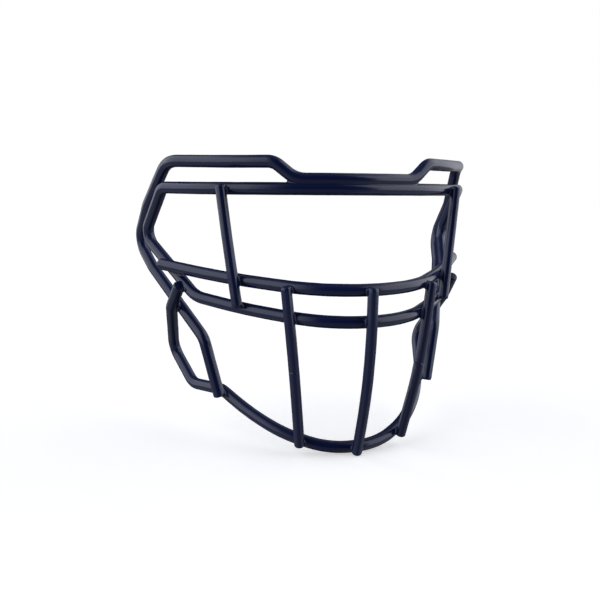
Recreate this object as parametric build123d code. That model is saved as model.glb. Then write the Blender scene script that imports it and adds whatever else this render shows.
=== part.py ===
from build123d import *
import math
import os

# Face guard (cage) of an American football helmet: bent and welded steel wire with a thick coating.
# Millimetres. +X is the wearer's left, -Y is forward, +Z is up. X = 0 is the plane of symmetry and
# the origin is the centre of the brow bar, on its centre line.

# ------------------------------------------------------------------ driving dimensions
MAIN_R = 7.2 / 2      # main wire over its coating: outer loop, eye ring, nose bar, jaw bar
UPRIGHT_R = 6.2 / 2   # thinner upright wire over its coating
END_ROUND = 1.5       # rounding of the coating at a cut wire end
BEAD_R = 4.7          # weld bead at a crossing: radius in the plane of contact
BEAD_H = 1.55         # weld bead at a crossing: half height along the line between the wires
FOOT_BEAD_R = 3.4     # smaller bead at the foot of an upright, so it doesn't hang below the jaw bar
MIN_WELD_VOLUME = 0.3  # slivers of a trimmed bead below this are dropped, mm3
LAP_R = 3.3           # weld run between two wires that lie side by side: half thickness
LAP_CLEAR = 0.15      # the weld run stands this far off the wires, whose bows differ a little
BROW_BOW_R = 98.0     # radius of the brow bar's centre bow, seen from above
BROW_LAP_TURN = 20.0  # angle about the centre of that bow that the brow weld run covers, degrees
SAMPLE_STEP = 0.5     # spacing of the points used to find where two wires meet
MATCH_TOL = 0.01      # tolerance for picking the rims of the cut ends

# ------------------------------------------------------------------ centre lines
# Wires that cross X = 0 are given for the wearer's right only (x < 0).
# Each row is a bend: x, y, z of the corner before bending, then the bend radius (0 at a cut end).
OUTER_LOOP = [
    (-71.2, 50.4, -126.4, 0.0),        # cut end, lapped on the front of the jaw bar
    (-79.5, 55.8, -89.6, 12.2),        # cheek bend
    (-104.0, 98.7, -49.2, 40.0),       # start of the elbow
    (-111.0, 116.2, -31.9, 11.4),      # elbow, beside the ear
    (-107.2, 89.9, -8.1, 40.0),        # temple
    (-99.0, 66.0, 15.7, 18.7),         # top corner, levels out
    (-95.4, 56.7, 17.1, 18.0),         # top corner, bends across
    (-67.5, 24.4, 15.4, 125.2),        # the top run bows with the forehead
    (-47.2, 10.2, 15.1, 10.0),         # top of the step
    (-35.9, 6.3, 5.4, 15.5),           # foot of the step, where it meets the brow bar
    (-15.2, -0.05, 5.2, BROW_BOW_R),   # runs along the top of the brow bar
]
EYE_RING = [
    (-34.3, 0.0, 0.0, BROW_BOW_R),     # brow bar, centre bow
    (-80.7, 36.26, 0.8, 82.6),         # brow bar, side bow
    (-101.1, 66.9, 1.8, 9.9),          # temple corner
    (-108.3, 103.1, -28.0, 8.7),       # elbow
    (-84.6, 51.6, -63.4, 24.8),        # cheek
    (-60.6, 23.2, -68.5, 350.0),       # lower nose bar
    (-23.4, -13.2, -73.3, 55.9),       # lower nose bar bows forward
]
UPPER_NOSE_BAR = [
    (-102.8, 74.5, -44.9, 0.0),        # cut end, lapped on the outer front of the eye ring
    (-70.9, 33.5, -50.8, 520.0),
    (-26.6, -14.1, -55.3, 59.5),       # bows forward over the nose
]
JAW_BAR = [
    (-93.5, 57.3, -56.8, 0.0),         # cut end, butted on the outer front of the eye ring
    (-96.2, 74.1, -72.2, 10.3),        # cheek loop, top, outboard of the outer loop
    (-90.9, 104.8, -104.2, 8.5),       # cheek loop, back
    (-82.0, 81.4, -124.2, 13.2),       # cheek loop, foot
    (-68.2, 57.9, -123.6, 12.0),       # jaw corner, behind the end of the outer loop
    (-55.8, 37.2, -134.0, 121.0),
    (-39.4, 20.0, -143.7, 82.0),
    (-15.3, 6.4, -151.2, 47.0),        # bows forward under the chin
]
# The uprights run from top to foot.
EYE_UPRIGHT = [
    (-74.6, 23.8, 2.7, 0.0),
    (-71.0, 22.9, -29.4, 1150.0),
    (-66.1, 21.1, -67.3, 0.0),
]
JAW_UPRIGHT = [
    (-44.6, -3.5, -52.9, 0.0),
    (-40.8, -2.2, -86.3, 400.0),
    (-37.7, 1.0, -112.3, 200.0),
    (-32.4, 9.8, -149.1, 0.0),
]
CENTRE_UPRIGHT = [
    (0.0, -20.2, -53.3, 0.0),
    (0.0, -18.5, -84.4, 202.0),
    (0.0, -13.3, -112.0, 197.0),
    (0.0, -6.3, -134.3, 360.0),
    (0.0, 1.1, -154.1, 0.0),
]


def both_sides(half):
    """The whole centre line of a wire that runs from one side to the other."""
    return half + [(-x, y, z, radius) for x, y, z, radius in reversed(half)]


# name: bends, radius of the wire, whether it closes on itself
WIRES = {
    "outer_loop": (both_sides(OUTER_LOOP), MAIN_R, False),
    "eye_ring": (both_sides(EYE_RING), MAIN_R, True),
    "upper_nose_bar": (both_sides(UPPER_NOSE_BAR), MAIN_R, False),
    "jaw_bar": (both_sides(JAW_BAR), MAIN_R, False),
    "eye_upright": (EYE_UPRIGHT, UPRIGHT_R, False),
    "jaw_upright": (JAW_UPRIGHT, UPRIGHT_R, False),
    "centre_upright": (CENTRE_UPRIGHT, UPRIGHT_R, False),
}


# ------------------------------------------------------------------ bent wire
def centre_edges(bends, closed):
    """Straight runs joined by tangent arcs."""
    count = len(bends)
    corner = [Vector(x, y, z) for x, y, z, radius in bends]
    start, middle, end = {}, {}, {}
    for i in range(count):
        if not closed and i in (0, count - 1):
            start[i] = end[i] = corner[i]
            middle[i] = None
            continue
        back = (corner[i - 1] - corner[i]).normalized()
        ahead = (corner[(i + 1) % count] - corner[i]).normalized()
        turn = math.pi - math.acos(max(-1.0, min(1.0, back.dot(ahead))))
        radius = bends[i][3]
        reach = radius * math.tan(turn / 2)
        start[i] = corner[i] + back * reach
        end[i] = corner[i] + ahead * reach
        inward = (back + ahead).normalized()
        middle[i] = corner[i] + inward * (radius / math.cos(turn / 2) - radius)
    edges = []
    for i in range(count):
        if middle[i] is not None:
            edges.append(Edge.make_three_point_arc(start[i], middle[i], end[i]))
        if i < count - 1 or closed:
            edges.append(Edge.make_line(end[i], start[(i + 1) % count]))
    # a closed wire starts on a straight run
    return edges[1:] + edges[:1] if closed else edges


def round_wire(bends, radius, closed):
    """A round wire swept along its centre line, its cut ends rounded by the coating."""
    edges = centre_edges(bends, closed)
    section = Plane(origin=edges[0] @ 0, z_dir=edges[0] % 0) * Circle(radius)
    solid = sweep(section, path=Wire(edges)).solids()[0]
    if closed:
        return solid
    tips = [edges[0] @ 0, edges[-1] @ 1]
    rims = [
        edge
        for edge in solid.edges().filter_by(GeomType.CIRCLE)
        if min((edge.arc_center - tip).length for tip in tips) < MATCH_TOL
        and abs(edge.radius - radius) < MATCH_TOL
    ]
    return solid.fillet(END_ROUND, rims)


def samples(bends, closed):
    """Closely spaced points along a centre line."""
    points = []
    for edge in centre_edges(bends, closed):
        count = max(2, int(edge.length / SAMPLE_STEP))
        points += [edge @ (k / count) for k in range(count + 1)]
    return points


def saddled(wire, *others):
    """The wire with a saddle where it is pressed into each of the others."""
    for other in others:
        wire = (wire - other).solids()[0]
    return wire


def mirrored(solids):
    return [mirror(solid, about=Plane.YZ).solids()[0] for solid in solids]


# ------------------------------------------------------------------ the wires
line = {name: samples(bends, closed) for name, (bends, radius, closed) in WIRES.items()}
wire = {name: round_wire(*spec) for name, spec in WIRES.items()}

# Each wire is pressed a little way into the one it is welded to: the later wire takes the saddle.
for name in ("upper_nose_bar", "jaw_bar"):
    wire[name] = saddled(wire[name], wire["eye_ring"])
wire["outer_loop"] = (wire["outer_loop"] - wire["eye_ring"] - wire["jaw_bar"]).solids()[0]
for name in ("eye_upright", "jaw_upright", "centre_upright"):
    wire[name] = saddled(wire[name], wire["eye_ring"], wire["upper_nose_bar"], wire["jaw_bar"])


# ------------------------------------------------------------------ where two wires meet
def zone(z_min=-math.inf, z_max=math.inf, x_min=-math.inf, x_max=-5):
    """Test for points in a region, by default on the wearer's right."""
    return lambda point: x_min < point.X < x_max and z_min < point.Z < z_max


def closest(name_a, name_b, inside):
    """Nearest pair of centre line points of two wires, within a zone."""
    def gap_squared(pair):
        a, b = pair
        return (a.X - b.X) ** 2 + (a.Y - b.Y) ** 2 + (a.Z - b.Z) ** 2

    points_a = [point for point in line[name_a] if inside(point)]
    points_b = [point for point in line[name_b] if inside(point)]
    return min(((a, b) for a in points_a for b in points_b), key=gap_squared)


def bead(point_a, point_b, radius_a, radius_b, size):
    """Lens-shaped bead around the point where two wires touch."""
    gap = point_b - point_a
    touch = point_a + gap.normalized() * (gap.length * radius_a / (radius_a + radius_b))
    lens_r = (size * size + BEAD_H * BEAD_H) / (2 * BEAD_H)
    half_angle = math.asin(size / lens_r) / 2
    mid_x = lens_r * math.sin(half_angle)
    mid_z = BEAD_H - lens_r + lens_r * math.cos(half_angle)
    profile = Face(Wire([
        Edge.make_three_point_arc((0, 0, -BEAD_H), (mid_x, 0, -mid_z), (size, 0, 0)),
        Edge.make_three_point_arc((size, 0, 0), (mid_x, 0, mid_z), (0, 0, BEAD_H)),
        Edge.make_line((0, 0, BEAD_H), (0, 0, -BEAD_H)),
    ]))
    lens = revolve(profile, axis=Axis.Z).solids()[0]
    return Plane(origin=touch, z_dir=gap.normalized()).location * lens


def weld(name_a, name_b, inside, size=BEAD_R, also_trim=()):
    """Bead where two wires meet, less the wires themselves."""
    point_a, point_b = closest(name_a, name_b, inside)
    left = bead(point_a, point_b, WIRES[name_a][1], WIRES[name_b][1], size)
    for name in (name_a, name_b, *also_trim):
        left = left - wire[name]
    kept = [solid for solid in left.solids() if solid.volume > MIN_WELD_VOLUME]
    if not kept:
        raise ValueError("a weld bead is wholly inside its wires")
    return kept


def weld_pair(*args, **options):
    """The same weld on both sides of the guard."""
    right = weld(*args, **options)
    return right + mirrored(right)


def brow_weld_run():
    """Weld run in both creases between the outer loop and the brow bar, round their bow."""
    upper, lower = closest("outer_loop", "eye_ring", zone(z_min=-30, x_min=-3, x_max=3))
    plane = Plane(origin=(0, 0, 0), x_dir=(0, 1, 0), z_dir=(1, 0, 0))
    crease = Pos((upper.Y + lower.Y) / 2, (upper.Z + lower.Z) / 2) * Circle(LAP_R)
    for point in (upper, lower):
        crease = crease - Pos(point.Y, point.Z) * Circle(MAIN_R + LAP_CLEAR)
    axis = Axis((0, BROW_BOW_R, 0), (0, 0, 1))
    runs = []
    for face in (plane * crease).faces():
        start = face.rotate(axis, -BROW_LAP_TURN / 2)
        runs += list(revolve(start, axis=axis, revolution_arc=BROW_LAP_TURN).solids())
    return runs


# ------------------------------------------------------------------ the pieces
parts = {
    name: [wire[name]]
    for name in ("outer_loop", "eye_ring", "upper_nose_bar", "jaw_bar", "centre_upright")
}
for name in ("eye_upright", "jaw_upright"):
    parts["right_" + name] = [wire[name]]
    parts["left_" + name] = mirrored([wire[name]])

# eye uprights on the brow bar, the upper nose bar and the lower nose bar
parts["brow_upright_welds"] = weld_pair("eye_upright", "eye_ring", zone(-25, 15))
parts["upper_nose_upright_welds"] = weld_pair("eye_upright", "upper_nose_bar", zone(-70, -30))
parts["lower_nose_upright_welds"] = weld_pair(
    "eye_upright", "eye_ring", zone(-80, -50), also_trim=["upper_nose_bar"])

# jaw and centre uprights on the upper nose bar, the lower nose bar and the jaw bar
parts["jaw_upright_top_welds"] = (
    weld_pair("jaw_upright", "upper_nose_bar", zone(-70, -40))
    + weld("centre_upright", "upper_nose_bar", zone(x_max=math.inf)))
parts["jaw_upright_middle_welds"] = (
    weld_pair("jaw_upright", "eye_ring", zone(-90, -58))
    + weld("centre_upright", "eye_ring", zone(z_max=-40, x_max=math.inf)))
parts["jaw_upright_foot_welds"] = (
    weld_pair("jaw_upright", "jaw_bar", zone(-170, -110), size=FOOT_BEAD_R)
    + weld("centre_upright", "jaw_bar", zone(z_max=-110, x_max=math.inf), size=FOOT_BEAD_R))

# upper nose bar ends and cheek loop ends on the sides of the eye ring
parts["nose_bar_end_welds"] = weld_pair("upper_nose_bar", "eye_ring", zone(-60, -30, x_max=-80))
parts["cheek_loop_top_welds"] = weld_pair("jaw_bar", "eye_ring", zone(-80, -40, x_max=-80))

# outer loop on the cheek loop, on the jaw bar, at the elbow and along the brow bar
parts["cheek_loop_side_welds"] = weld_pair("outer_loop", "jaw_bar", zone(z_min=-100, x_max=-80))
parts["outer_loop_end_welds"] = weld_pair("outer_loop", "jaw_bar", zone(z_max=-110))
parts["elbow_lap_welds"] = weld_pair("outer_loop", "eye_ring", zone(z_min=-40, x_max=-90))
parts["brow_lap_welds"] = brow_weld_run()

# ------------------------------------------------------------------ one file per node
os.makedirs("parts", exist_ok=True)
for name, solids in parts.items():
    shape = solids[0] if len(solids) == 1 else Compound(children=list(solids))
    shape.label = name
    export_step(shape, "parts/" + name + ".step")
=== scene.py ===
# A face guard of round wire under a thick navy coating, with coating fillets over its welds.
# It stands upright: the brow is near z = 0 and the chin near z = -0.155 m. The front faces -Y,
# and the wearer's right side is at x < 0. Wires are worked out in millimetres, the scene in metres.
import math
from collections import namedtuple

import bpy
import numpy as np
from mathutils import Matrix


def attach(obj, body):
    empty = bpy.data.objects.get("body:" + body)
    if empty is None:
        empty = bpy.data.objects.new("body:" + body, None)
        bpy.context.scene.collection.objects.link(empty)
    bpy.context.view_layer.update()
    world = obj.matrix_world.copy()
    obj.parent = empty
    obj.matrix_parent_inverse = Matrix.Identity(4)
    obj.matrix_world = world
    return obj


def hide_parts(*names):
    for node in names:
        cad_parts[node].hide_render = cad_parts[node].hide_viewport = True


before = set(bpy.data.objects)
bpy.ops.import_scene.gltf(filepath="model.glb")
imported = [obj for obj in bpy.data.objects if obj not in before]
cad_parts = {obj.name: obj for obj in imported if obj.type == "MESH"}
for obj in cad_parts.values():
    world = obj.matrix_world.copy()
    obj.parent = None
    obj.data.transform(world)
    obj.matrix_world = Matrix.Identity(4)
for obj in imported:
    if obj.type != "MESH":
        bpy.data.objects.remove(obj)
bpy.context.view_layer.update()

MM = 0.001

# ---------------------------------------------------------------- wire centre lines, mm
# Columns: x, y, z of the corner before bending, then the bend radius. The loops and bars are
# listed for x < 0 only and mirrored.
OUTER_LOOP = [
    (-71.2, 50.4, -126.4, 0.0),
    (-79.5, 55.8, -89.6, 12.2),
    (-104.0, 98.7, -49.2, 40.0),
    (-111.0, 116.2, -31.9, 11.4),
    (-107.2, 89.9, -8.1, 40.0),
    (-99.0, 66.0, 15.7, 18.7),
    (-95.4, 56.7, 17.1, 18.0),
    (-67.5, 24.4, 15.4, 125.2),
    (-47.2, 10.2, 15.1, 10.0),
    (-35.9, 6.3, 5.4, 15.5),
    (-15.2, -0.05, 5.2, 98.0),
]
EYE_RING = [
    (-34.3, 0.0, 0.0, 98.0),
    (-80.7, 36.26, 0.8, 82.6),
    (-101.1, 66.9, 1.8, 9.9),
    (-108.3, 103.1, -28.0, 8.7),
    (-84.6, 51.6, -63.4, 24.8),
    (-60.6, 23.2, -68.5, 350.0),
    (-23.4, -13.2, -73.3, 55.9),
]
UPPER_NOSE_BAR = [
    (-102.8, 74.5, -44.9, 0.0),
    (-70.9, 33.5, -50.8, 520.0),
    (-26.6, -14.1, -55.3, 59.5),
]
JAW_BAR = [
    (-93.5, 57.3, -56.8, 0.0),
    (-96.2, 74.1, -72.2, 10.3),
    (-90.9, 104.8, -104.2, 8.5),
    (-82.0, 81.4, -124.2, 13.2),
    (-68.2, 57.9, -123.6, 12.0),
    (-55.8, 37.2, -134.0, 121.0),
    (-39.4, 20.0, -143.7, 82.0),
    (-15.3, 6.4, -151.2, 47.0),
]
EYE_UPRIGHT = [
    (-74.6, 23.8, 2.7, 0.0),
    (-71.0, 22.9, -29.4, 1150.0),
    (-66.1, 21.1, -67.3, 0.0),
]
JAW_UPRIGHT = [
    (-44.6, -3.5, -52.9, 0.0),
    (-40.8, -2.2, -86.3, 400.0),
    (-37.7, 1.0, -112.3, 200.0),
    (-32.4, 9.8, -149.1, 0.0),
]
CENTRE_UPRIGHT = [
    (0.0, -20.2, -53.3, 0.0),
    (0.0, -18.5, -84.4, 202.0),
    (0.0, -13.3, -112.0, 197.0),
    (0.0, -6.3, -134.3, 360.0),
    (0.0, 1.1, -154.1, 0.0),
]
MAIN_RADIUS = 3.6
UPRIGHT_RADIUS = 3.1

# ---------------------------------------------------------------- welds, mm
# Columns: two wires, a place near their joint, radius of the ball rolled round it, step along
# the ball's path, and whether the joint is repeated at x > 0.
WELDS = {
    "brow_upright_welds": [
        ("right_eye_upright", "eye_ring", (-72.4, 26.1, 0.5), 0.8, 0.35, True),
    ],
    "upper_nose_upright_welds": [
        ("right_eye_upright", "upper_nose_bar", (-68.1, 21.8, -51.8), 1.0, 0.35, True),
    ],
    "lower_nose_upright_welds": [
        ("right_eye_upright", "eye_ring", (-66.1, 21.1, -67.3), 1.0, 0.35, True),
    ],
    "jaw_upright_top_welds": [
        ("right_jaw_upright", "upper_nose_bar", (-44.4, -3.4, -54.4), 1.0, 0.35, True),
        ("centre_upright", "upper_nose_bar", (0.0, -20.1, -55.8), 1.0, 0.35, False),
    ],
    "jaw_upright_middle_welds": [
        ("right_jaw_upright", "eye_ring", (-42.5, -2.8, -71.8), 1.0, 0.35, True),
        ("centre_upright", "eye_ring", (0.0, -19.1, -73.6), 1.0, 0.35, False),
    ],
    "jaw_upright_foot_welds": [
        ("right_jaw_upright", "jaw_bar", (-32.5, 9.7, -148.6), 1.0, 0.35, True),
        ("centre_upright", "jaw_bar", (0.0, 0.7, -153.2), 1.0, 0.35, False),
    ],
    "nose_bar_end_welds": [
        ("upper_nose_bar", "eye_ring", (-99.1, 69.8, -45.6), 1.0, 0.35, True),
    ],
    "cheek_loop_top_welds": [
        ("jaw_bar", "eye_ring", (-91.2, 59.7, -57.8), 1.2, 0.35, True),
    ],
    "cheek_loop_side_welds": [
        ("outer_loop", "jaw_bar", (-93.5, 75.2, -71.8), 1.0, 0.35, True),
    ],
    "outer_loop_end_welds": [
        ("outer_loop", "jaw_bar", (-70.0, 51.5, -126.1), 1.2, 0.35, True),
    ],
    "elbow_lap_welds": [
        ("outer_loop", "eye_ring", (-107.5, 96.2, -18.5), 0.7, 0.35, True),
    ],
    "brow_lap_welds": [
        ("outer_loop", "eye_ring", (0.0, 0.0, 2.6), 0.7, 0.4, False),
    ],
}

# ---------------------------------------------------------------- coating, mm
END_ROUND = 1.5  # rim radius of a cut end
END_DOME = 0.10  # extra thickness in the middle of a cut end, where coating gathers
CAP_SHARES = (0.25, 0.5, 0.75)  # rings on an end's flat face, as shares of its radius
RIM_STEPS = 8
COAT_INSET = 0.01  # the wavy coat is centred this far inside the nominal radius
WAVE_COUNT = 9
WAVE_HEIGHT = 0.020
WAVE_LENGTHS = (9.0, 34.0)
END_FADE = 4.0  # the waves grow from nothing over this length from a cut end
SEAM_FADE = 12.0  # and over this length from the seam of a closed wire
FIRST_SEED = 100
MAIN_SEGMENTS = 64
UPRIGHT_SEGMENTS = 56

# Sampling of a centre line: largest steps on straights and arcs, and largest turn per arc step.
MESH_SAMPLING = {"straight_step": 1.1, "arc_step": 0.9, "arc_turn": math.radians(3.0)}
FIELD_STEP = 0.2
FIELD_SAMPLING = {"straight_step": FIELD_STEP, "arc_step": FIELD_STEP, "arc_turn": 0.05}
FIELD_END_SAMPLES = 12  # samples from a cut end within which its rounding is looked at

FILLET_SINK = 0.03  # fillets touch the wires this far below the nominal surface
FILLET_ARC_STEPS = 10
FILLET_TUCK = 0.25  # depth of a section's hidden shoulders inside the wires
FILLET_SHOULDER_SHIFT = 0.05  # their shift towards the joint
FILLET_DEPTH = 1.1  # greatest depth of its hidden middle corner


# ---------------------------------------------------------------- sampled wires
def other_side(rows):
    return [(-x, y, z, radius) for x, y, z, radius in rows]


def both_sides(half):
    return half + other_side(half)[::-1]


def unit(vector):
    return vector / np.linalg.norm(vector)


def angle_between(a, b):
    return math.acos(max(-1.0, min(1.0, float(a @ b))))


Bend = namedtuple("Bend", "start end centre radius turn heading")


def bend_corner(before, corner, after, radius):
    """The arc that rounds a corner, touching both straight runs."""
    back = unit(before - corner)
    ahead = unit(after - corner)
    turn = math.pi - angle_between(back, ahead)
    reach = radius * math.tan(turn / 2)
    centre = corner + unit(back + ahead) * radius / math.cos(turn / 2)
    return Bend(corner + back * reach, corner + ahead * reach, centre, radius, turn, -back)


def sample_line(rows, closed, straight_step, arc_step, arc_turn):
    """Points and tangents along straight runs joined by tangent arcs."""
    count = len(rows)
    corners = [np.array(row[:3], float) for row in rows]
    bends = []
    for i, corner in enumerate(corners):
        if closed or 0 < i < count - 1:
            after = corners[(i + 1) % count]
            bends.append(bend_corner(corners[i - 1], corner, after, rows[i][3]))
        else:
            bends.append(Bend(corner, corner, None, 0.0, 0.0, None))
    points, tangents = [], []
    for i, bend in enumerate(bends):
        if bend.centre is not None:
            wanted = max(bend.radius * bend.turn / arc_step, bend.turn / arc_turn)
            steps = max(3, math.ceil(wanted))
            out = (bend.start - bend.centre) / bend.radius
            for k in range(steps):
                angle = bend.turn * k / steps
                cos, sin = math.cos(angle), math.sin(angle)
                points.append(bend.centre + bend.radius * (out * cos + bend.heading * sin))
                tangents.append(-out * sin + bend.heading * cos)
        if i < count - 1 or closed:
            straight = bends[(i + 1) % count].start - bend.end
            length = np.linalg.norm(straight)
            steps = max(1, math.ceil(length / straight_step))
            for k in range(steps):
                points.append(bend.end + straight * (k / steps))
                tangents.append(straight / length)
    if not closed:
        points.append(corners[-1])
        tangents.append(tangents[-1])
    return np.array(points), np.array(tangents)


class Wire:
    """A round coated wire: its distance field is used to lay the fillets."""

    def __init__(self, name, rows, radius, closed=False):
        self.name, self.rows, self.radius, self.closed = name, rows, radius, closed
        self.points, self.tangents = sample_line(rows, closed, **FIELD_SAMPLING)

    def nearest(self, place):
        """Index of the sample nearest to a place."""
        return int(np.argmin(((self.points - place) ** 2).sum(1)))

    def field(self, place):
        """Signed distance to the surface the fillets touch, and its gradient."""
        radius = self.radius - FILLET_SINK
        i = self.nearest(place)
        at_start = not self.closed and i <= FIELD_END_SAMPLES
        at_end = not self.closed and i >= len(self.points) - 1 - FIELD_END_SAMPLES
        if at_start or at_end:
            tip = self.points[0] if at_start else self.points[-1]
            axis = -self.tangents[0] if at_start else self.tangents[-1]
            from_tip = place - tip
            beyond = float(from_tip @ axis) + FILLET_SINK
            if beyond > -END_ROUND:
                side = from_tip - axis * float(from_tip @ axis)
                span = np.linalg.norm(side)
                if span > 1e-9:
                    side = side / span
                past_flat, past_rim = span - (radius - END_ROUND), beyond + END_ROUND
                if past_flat <= 0:
                    return beyond, axis
                reach = math.hypot(past_flat, past_rim)
                return reach - END_ROUND, (side * past_flat + axis * past_rim) / reach
        along = float((place - self.points[i]) @ self.tangents[i])
        foot = self.points[i] + self.tangents[i] * max(-FIELD_STEP, min(FIELD_STEP, along))
        out = place - foot
        reach = np.linalg.norm(out)
        return reach - radius, out / reach


# ---------------------------------------------------------------- meshes
def new_object(name, vertices, faces):
    """A smooth-shaded mesh object from millimetres."""
    mesh = bpy.data.meshes.new(name)
    mesh.from_pydata((np.asarray(vertices) * MM).tolist(), [], faces)
    mesh.validate()
    mesh.polygons.foreach_set("use_smooth", [True] * len(mesh.polygons))
    mesh.update()
    obj = bpy.data.objects.new(name, mesh)
    bpy.context.scene.collection.objects.link(obj)
    return obj


def ring_faces(count, size, closed):
    """Quads between neighbouring rings of equal size."""
    faces = []
    for k in range(count if closed else count - 1):
        here, ahead = k * size, ((k + 1) % count) * size
        for j in range(size):
            j2 = (j + 1) % size
            faces.append((here + j, here + j2, ahead + j2, ahead + j))
    return faces


def run_lengths(points, closed):
    """Length along the line at each point, and the whole length."""
    run = np.r_[0, np.cumsum(np.linalg.norm(np.diff(points, axis=0), axis=1))]
    total = run[-1]
    if closed:
        total = total + np.linalg.norm(points[0] - points[-1])
    return run, total


def reflect(vector, normal):
    return vector - 2 / float(normal @ normal) * float(normal @ vector) * normal


def steady_frames(points, tangents, closed):
    """Cross directions carried along the line without twist (double reflection)."""
    count = len(points)
    first = np.cross(tangents[0], (0.0, 0.0, 1.0))
    if np.linalg.norm(first) < 0.2:
        first = np.cross(tangents[0], (0.0, 1.0, 0.0))
    across = np.zeros((count, 3))
    across[0] = carried = unit(first)
    for k in range(1, count + 1 if closed else count):
        before, here = k - 1, k % count
        chord = points[here] - points[before]
        carried = reflect(carried, chord)
        swing = tangents[here] - reflect(tangents[before], chord)
        if float(swing @ swing) >= 1e-18:
            carried = reflect(carried, swing)
        if k < count:
            across[k] = carried
    if closed:
        # spread the mismatch at the seam evenly along the loop
        other = np.cross(tangents[0], across[0])
        twist = math.atan2(float(carried @ other), float(carried @ across[0]))
        run, total = run_lengths(points, closed)
        for k in range(count):
            angle = -twist * run[k] / total
            upward = np.cross(tangents[k], across[k])
            across[k] = across[k] * math.cos(angle) + upward * math.sin(angle)
    return across


def coat_wave(run, angle, seed):
    """Slow unevenness of a dipped coat, from a few waves round and along the wire."""
    rng = np.random.RandomState(seed)
    total = np.zeros(len(angle))
    for _ in range(WAVE_COUNT):
        length = rng.uniform(*WAVE_LENGTHS)
        turns = rng.randint(0, 4)
        phase = rng.uniform(0, 2 * math.pi)
        total += np.sin(2 * math.pi * run / length + turns * angle + phase)
    return total * (WAVE_HEIGHT / math.sqrt(WAVE_COUNT))


def cap_profile(radius):
    """Radius and height of the rings of a cut end, from the middle out to the side."""
    flat = radius - END_ROUND
    profile = [(flat * share, END_DOME * (1 - share * share)) for share in CAP_SHARES]
    for k in range(RIM_STEPS):
        turn = (math.pi / 2) * k / RIM_STEPS
        profile.append((flat + END_ROUND * math.sin(turn), -END_ROUND * (1 - math.cos(turn))))
    return profile


def wire_object(wire, segments, seed):
    points, tangents = sample_line(wire.rows, wire.closed, **MESH_SAMPLING)
    across = steady_frames(points, tangents, wire.closed)
    upward = np.cross(tangents, across)
    run, total = run_lengths(points, wire.closed)
    angle = np.arange(segments) * (2 * math.pi / segments)
    cos, sin = np.cos(angle)[:, None], np.sin(angle)[:, None]

    def ring(centre, k, radius):
        return centre + (across[k] * cos + upward[k] * sin) * np.reshape(radius, (-1, 1))

    from_end = np.minimum(run, total - run)
    if wire.closed:
        fade = np.minimum(1, from_end / SEAM_FADE)
    else:
        fade = np.minimum(1, (from_end - END_ROUND) / END_FADE)
    rings = []
    for k in range(len(points)):
        if wire.closed or from_end[k] >= END_ROUND:
            wave = coat_wave(run[k], angle, seed) * fade[k]
            rings.append(ring(points[k], k, wire.radius - COAT_INSET + wave))
    name = wire.name + "_coated"
    if wire.closed:
        return new_object(name, np.concatenate(rings), ring_faces(len(rings), segments, True))

    profile = cap_profile(wire.radius)
    start_cap = [ring(points[0] - tangents[0] * high, 0, radius) for radius, high in profile]
    end_cap = [ring(points[-1] + tangents[-1] * high, -1, radius) for radius, high in profile]
    rings = start_cap + rings + end_cap[::-1]
    start_tip = len(rings) * segments
    end_tip = start_tip + 1
    last_ring = start_tip - segments
    faces = ring_faces(len(rings), segments, False)
    for j in range(segments):
        j2 = (j + 1) % segments
        faces.append((start_tip, j2, j))
        faces.append((end_tip, last_ring + j, last_ring + j2))
    tips = [[points[0] - tangents[0] * END_DOME], [points[-1] + tangents[-1] * END_DOME]]
    return new_object(name, np.concatenate(rings + tips), faces)


# ---------------------------------------------------------------- fillets where wires meet
def settle(place, wire_a, wire_b, ball):
    """Moves a ball until it touches both wires: its place, both gradients, and the miss left."""
    for _ in range(30):
        distance_a, out_a = wire_a.field(place)
        distance_b, out_b = wire_b.field(place)
        miss_a, miss_b = distance_a - ball, distance_b - ball
        if abs(miss_a) < 1e-6 and abs(miss_b) < 1e-6:
            break
        cosine = float(out_a @ out_b)
        spread = max(1e-4, 1 - cosine * cosine)
        move_a = (-miss_a + cosine * miss_b) / spread
        move_b = (-miss_b + cosine * miss_a) / spread
        move = out_a * move_a + out_b * move_b
        size = np.linalg.norm(move)
        if size > 0.5:
            move *= 0.5 / size
        place = place + move
    return place, out_a, out_b, max(abs(miss_a), abs(miss_b))


def ball_path(wire_a, wire_b, near, ball, step):
    """The path of a ball rolled all round a joint, touching both wires: its places, each with
    the directions from the two wires to the ball."""
    place = np.array(near, float)
    for _ in range(20):
        on_a = wire_a.points[wire_a.nearest(place)]
        on_b = wire_b.points[wire_b.nearest(place)]
        place = (on_a + on_b) / 2
    line = wire_a.tangents[wire_a.nearest(place)]
    outward = unit(np.cross(unit(on_b - on_a), line))
    place = place + outward * (wire_a.radius + ball)
    place, out_a, out_b, _ = settle(place, wire_a, wire_b, ball)
    first = place.copy()
    heading = unit(np.cross(out_a, out_b))
    path = []
    travelled = 0.0
    for _ in range(4000):
        path.append((place, out_a, out_b))
        stride = step
        for _ in range(8):
            ahead, out_a, out_b, miss = settle(place + heading * stride, wire_a, wire_b, ball)
            if miss < 1e-3 and 0.3 * stride < np.linalg.norm(ahead - place) < 2.0 * stride:
                break
            stride *= 0.5
        turned = np.cross(out_a, out_b)
        size = np.linalg.norm(turned)
        turned = turned / size if size > 1e-6 else heading
        heading = -turned if float(turned @ heading) < 0 else turned
        travelled += np.linalg.norm(ahead - place)
        place = ahead
        if travelled > 4 * step and np.linalg.norm(place - first) < 0.75 * step:
            break
    else:
        raise RuntimeError("a fillet did not close: " + wire_a.name + " " + wire_b.name)
    return path


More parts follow.
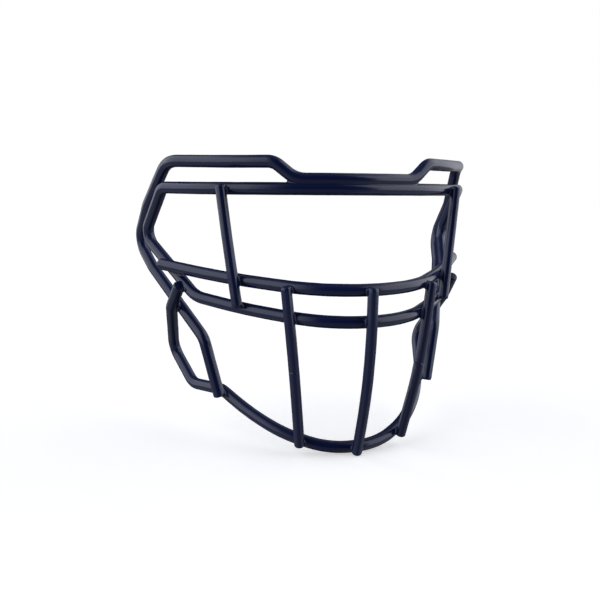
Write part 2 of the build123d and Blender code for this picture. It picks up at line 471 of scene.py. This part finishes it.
def fillet_section(place, to_a, to_b, ball):
    """The ball's arc between its touching points, closed by three points inside the wires."""
    whole = angle_between(to_a, to_b)
    sine = math.sin(whole)
    middle = to_a + to_b
    middle /= max(1e-9, np.linalg.norm(middle))
    section = []
    for k in range(FILLET_ARC_STEPS + 1):
        share = k / FILLET_ARC_STEPS
        if sine > 1e-6:
            part_a, part_b = math.sin((1 - share) * whole), math.sin(share * whole)
            direction = (to_a * part_a + to_b * part_b) / sine
        else:
            direction = to_a * (1 - share) + to_b * share
        section.append(place + unit(direction) * ball)
    deep = min(ball / max(0.2, math.cos(whole / 2)), ball + FILLET_DEPTH)
    shift = middle * FILLET_SHOULDER_SHIFT
    section.append(place + to_b * (ball + FILLET_TUCK) + shift)
    section.append(place + middle * deep)
    section.append(place + to_a * (ball + FILLET_TUCK) + shift)
    return section


def fillet_mesh(path, ball):
    rings = [fillet_section(place, -out_a, -out_b, ball) for place, out_a, out_b in path]
    vertices = np.array(rings).reshape(-1, 3)
    faces = ring_faces(len(rings), len(rings[0]), True)
    # the outside of a closed surface encloses a positive volume
    triangles = np.array([(f[0], f[1], f[2]) for f in faces] + [(f[0], f[2], f[3]) for f in faces])
    p, q, r = (vertices - vertices.mean(0))[triangles.T]
    if np.einsum("ij,ij->i", p, np.cross(q, r)).sum() < 0:
        faces = [face[::-1] for face in faces]
    return vertices, faces


def fillet_object(name, joints, wires):
    """All the fillets of one weld group, from its rows in WELDS."""
    parts = []
    for name_a, name_b, near, ball, step, mirrored in joints:
        path = ball_path(wires[name_a], wires[name_b], near, ball, step)
        vertices, faces = fillet_mesh(path, ball)
        parts.append((vertices, faces))
        if mirrored:
            parts.append((vertices * (-1.0, 1.0, 1.0), [face[::-1] for face in faces]))
    all_faces = []
    base = 0
    for vertices, faces in parts:
        all_faces += [tuple(i + base for i in face) for face in faces]
        base += len(vertices)
    return new_object(name, np.concatenate([vertices for vertices, _ in parts]), all_faces)


# ---------------------------------------------------------------- materials
class Tree:
    """Short ways to write node arithmetic."""

    def __init__(self, owner):
        owner.use_nodes = True
        self.tree = owner.node_tree
        self.tree.nodes.clear()

    def node(self, kind, inputs=None, **settings):
        node = self.tree.nodes.new(kind)
        for key, value in settings.items():
            setattr(node, key, value)
        for key, value in (inputs or {}).items():
            self.put(node.inputs[key], value)
        return node

    def put(self, socket, value):
        """Links an output socket, or sets a plain value."""
        if hasattr(value, "is_output"):
            self.tree.links.new(value, socket)
        else:
            socket.default_value = value

    def math(self, operation, *values):
        return self.node("ShaderNodeMath", dict(enumerate(values)), operation=operation).outputs[0]

    def ramp(self, value, start, end, at_start=0.0, at_end=1.0):
        """A smooth step between two values as the input goes from start to end."""
        inputs = {"Value": value, "From Min": start, "From Max": end,
                  "To Min": at_start, "To Max": at_end}
        return self.node("ShaderNodeMapRange", inputs, interpolation_type="SMOOTHSTEP").outputs[0]

    def band(self, value, rise, fall):
        """One between two smooth edges and nought outside them."""
        rising = self.ramp(value, start=rise[0], end=rise[1])
        falling = self.ramp(value, start=fall[0], end=fall[1], at_start=1.0, at_end=0.0)
        return self.math("MULTIPLY", rising, falling)

    def noise(self, vector, scale, detail, roughness):
        inputs = {"Vector": vector, "Scale": scale, "Detail": detail, "Roughness": roughness}
        return self.node("ShaderNodeTexNoise", inputs).outputs["Fac"]

    def mix(self, factor, a, b):
        inputs = {"Factor": factor, "A": a, "B": b}
        return self.node("ShaderNodeMix", data_type="RGBA", inputs=inputs).outputs["Result"]


def coat_material(name, deep, lit, rough, peel, shift):
    """Thick navy coating: even colour with slow drift, a satin gloss that varies a little, and
    orange peel. Shift moves the noise so that the materials differ."""
    material = bpy.data.materials.new(name)
    t = Tree(material)
    place = t.node("ShaderNodeTexCoord").outputs["Object"]
    mapping = t.node("ShaderNodeMapping", {"Vector": place, "Location": shift})
    vector = mapping.outputs["Vector"]
    drift = t.noise(vector, scale=24.0, detail=3.0, roughness=0.55)
    fine = t.noise(vector, scale=260.0, detail=2.0, roughness=0.5)
    colour = t.mix(t.ramp(drift, start=0.32, end=0.68), deep, lit)
    gloss = t.math(
        "ADD",
        t.ramp(drift, start=0.3, end=0.7, at_start=rough - 0.015, at_end=rough + 0.02),
        t.ramp(fine, start=0.3, end=0.7, at_start=-0.012, at_end=0.015),
    )
    peel_wide = t.noise(vector, scale=420.0, detail=1.0, roughness=0.4)
    peel_fine = t.noise(vector, scale=1500.0, detail=1.0, roughness=0.4)
    fine_share = 0.25
    height = t.math("ADD", peel_wide, t.math("MULTIPLY", peel_fine, fine_share))
    bump = t.node("ShaderNodeBump", {"Height": height, "Strength": peel, "Distance": 0.00006})
    shader = t.node("ShaderNodeBsdfPrincipled", {
        "Base Color": colour,
        "Roughness": gloss,
        "Normal": bump.outputs["Normal"],
        "IOR": 1.5,
    })
    t.node("ShaderNodeOutputMaterial", {"Surface": shader.outputs["BSDF"]})
    return material


def floor_material():
    """Pale diffuse floor with a glow of its own."""
    material = bpy.data.materials.new("pale_floor")
    t = Tree(material)
    diffuse = t.node("ShaderNodeBsdfDiffuse", {"Color": (0.80, 0.80, 0.80, 1)})
    glow = t.node("ShaderNodeEmission", {"Color": (1, 1, 1, 1), "Strength": 0.50})
    both = t.node("ShaderNodeAddShader", {0: diffuse.outputs[0], 1: glow.outputs[0]})
    t.node("ShaderNodeOutputMaterial", {"Surface": both.outputs[0]})
    return material


# ---------------------------------------------------------------- the guard
def make_wires():
    uprights = {"eye_upright": EYE_UPRIGHT, "jaw_upright": JAW_UPRIGHT}
    wires = [
        Wire("outer_loop", both_sides(OUTER_LOOP), MAIN_RADIUS),
        Wire("eye_ring", both_sides(EYE_RING), MAIN_RADIUS, closed=True),
        Wire("upper_nose_bar", both_sides(UPPER_NOSE_BAR), MAIN_RADIUS),
        Wire("jaw_bar", both_sides(JAW_BAR), MAIN_RADIUS),
    ]
    for name, rows in uprights.items():
        wires.append(Wire("right_" + name, rows, UPRIGHT_RADIUS))
        wires.append(Wire("left_" + name, other_side(rows), UPRIGHT_RADIUS))
    wires.append(Wire("centre_upright", CENTRE_UPRIGHT, UPRIGHT_RADIUS))
    return {wire.name: wire for wire in wires}


def register(piece, material, replaced):
    piece.data.materials.append(material)
    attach(piece, "root")
    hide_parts(replaced)


def build_guard():
    main_coat = coat_material(
        "navy_coat_main_wire", deep=(0.0044, 0.0108, 0.0600, 1), lit=(0.0062, 0.0136, 0.0700, 1),
        rough=0.175, peel=0.35, shift=(0, 0, 0),
    )
    upright_coat = coat_material(
        "navy_coat_upright_wire", deep=(0.0044, 0.0108, 0.0605, 1),
        lit=(0.0064, 0.0138, 0.0710, 1), rough=0.18, peel=0.35, shift=(0.31, 0.12, 0.07),
    )
    weld_coat = coat_material(
        "navy_coat_over_welds", deep=(0.0042, 0.0102, 0.0570, 1), lit=(0.0058, 0.0128, 0.0660, 1),
        rough=0.165, peel=0.25, shift=(0.11, 0.43, 0.22),
    )
    wires = make_wires()
    pieces = []
    for seed, wire in enumerate(wires.values(), FIRST_SEED):
        if wire.radius < MAIN_RADIUS:
            piece = wire_object(wire, UPRIGHT_SEGMENTS, seed)
            register(piece, upright_coat, wire.name)
        else:
            piece = wire_object(wire, MAIN_SEGMENTS, seed)
            register(piece, main_coat, wire.name)
        pieces.append(piece)
    for group, joints in WELDS.items():
        piece = fillet_object(group[:-1] + "_fillets", joints, wires)
        register(piece, weld_coat, group)
        pieces.append(piece)
    return pieces


# ---------------------------------------------------------------- floor, light and camera, metres
FLOOR_HALF = 40
CAMERA_PLACE = (-0.1575, -0.3737, -0.0097)
CAMERA_DOWN = 7.46  # degrees below level
CAMERA_TURN = -18.10  # degrees about Z; negative turns the view from +Y towards +X


def build_floor(z):
    h = FLOOR_HALF
    mesh = bpy.data.meshes.new("floor")
    mesh.from_pydata([(-h, -h, z), (h, -h, z), (h, h, z), (-h, h, z)], [], [(0, 1, 2, 3)])
    floor = bpy.data.objects.new("floor", mesh)
    bpy.context.scene.collection.objects.link(floor)
    mesh.materials.append(floor_material())
    floor.visible_glossy = False
    floor.visible_diffuse = False


def build_world():
    """A soft light panel on each side, weak light from below and above, and plain white to the
    camera. Angles are in degrees; azimuth is 0 towards +Y and grows towards +X."""
    world = bpy.data.worlds.new("studio")
    bpy.context.scene.world = world
    t = Tree(world)
    degrees = 180 / math.pi
    direction = t.node("ShaderNodeTexCoord").outputs["Generated"]
    x, y, z = t.node("ShaderNodeSeparateXYZ", {0: direction}).outputs
    azimuth = t.math("MULTIPLY", t.math("ARCTAN2", x, y), degrees)
    sine = t.math("MINIMUM", t.math("MAXIMUM", z, -1.0), 1.0)
    height = t.math("MULTIPLY", t.math("ARCSINE", sine), degrees)

    # side panels
    left_strength, right_strength = 1.55, 1.62
    panel_foot = (-12, -7.5)
    left = t.band(azimuth, rise=(-151, -108), fall=(-45, -5))
    right = t.band(azimuth, rise=(12, 95), fall=(142, 151))
    side = t.math("ADD", left, right)
    left_light = t.math("MULTIPLY", left, left_strength)
    right_light = t.math("MULTIPLY", right, right_strength)
    both_panels = t.math("ADD", left_light, right_light)
    tall = t.band(height, rise=panel_foot, fall=(43, 75))
    panels = t.math("MULTIPLY", both_panels, tall)

    # light from below the panels, stronger under them and towards the front
    low_side_strength = 0.25
    from_back = t.math("ABSOLUTE", azimuth)
    low_shape = t.ramp(height, start=panel_foot[0], end=panel_foot[1], at_start=1.0, at_end=0.0)
    low_side = t.math("MULTIPLY", side, low_side_strength)
    low_side = t.math("MULTIPLY", low_side, t.ramp(height, start=-85, end=-55))
    low_front = t.ramp(from_back, start=20, end=150, at_start=0.03, at_end=0.17)
    low = t.math("MULTIPLY", low_shape, t.math("ADD", low_side, low_front))

    # faint light everywhere, a little more from above
    base_fill = 0.03
    above = t.ramp(height, start=50, end=75, at_start=0.0, at_end=0.10)
    fill = t.math("ADD", above, base_fill)
    total = t.math("ADD", t.math("ADD", panels, low), fill)

    camera_ray = t.node("ShaderNodeLightPath").outputs["Is Camera Ray"]
    inputs = {"Factor": camera_ray, "A": total, "B": 1.0}
    strength = t.node("ShaderNodeMix", inputs, data_type="FLOAT").outputs["Result"]
    cool, white = (0.975, 1.0, 1.06, 1), (1, 1, 1, 1)
    colour = t.mix(camera_ray, cool, white)
    background = t.node("ShaderNodeBackground", {"Color": colour, "Strength": strength})
    t.node("ShaderNodeOutputWorld", {"Surface": background.outputs[0]})


def build_camera():
    data = bpy.data.cameras.new("camera")
    data.sensor_width = 36.0
    data.lens = 42.80
    data.clip_start = 0.01
    data.clip_end = 200.0
    camera = bpy.data.objects.new("camera", data)
    scene = bpy.context.scene
    scene.collection.objects.link(camera)
    camera.location = CAMERA_PLACE
    camera.rotation_euler = (math.radians(90 - CAMERA_DOWN), 0.0, math.radians(CAMERA_TURN))
    scene.camera = camera
    scene.view_settings.view_transform = "Standard"
    scene.view_settings.look = "None"


pieces = build_guard()
build_floor(min(v.co.z for piece in pieces for v in piece.data.vertices))
build_world()
build_camera()
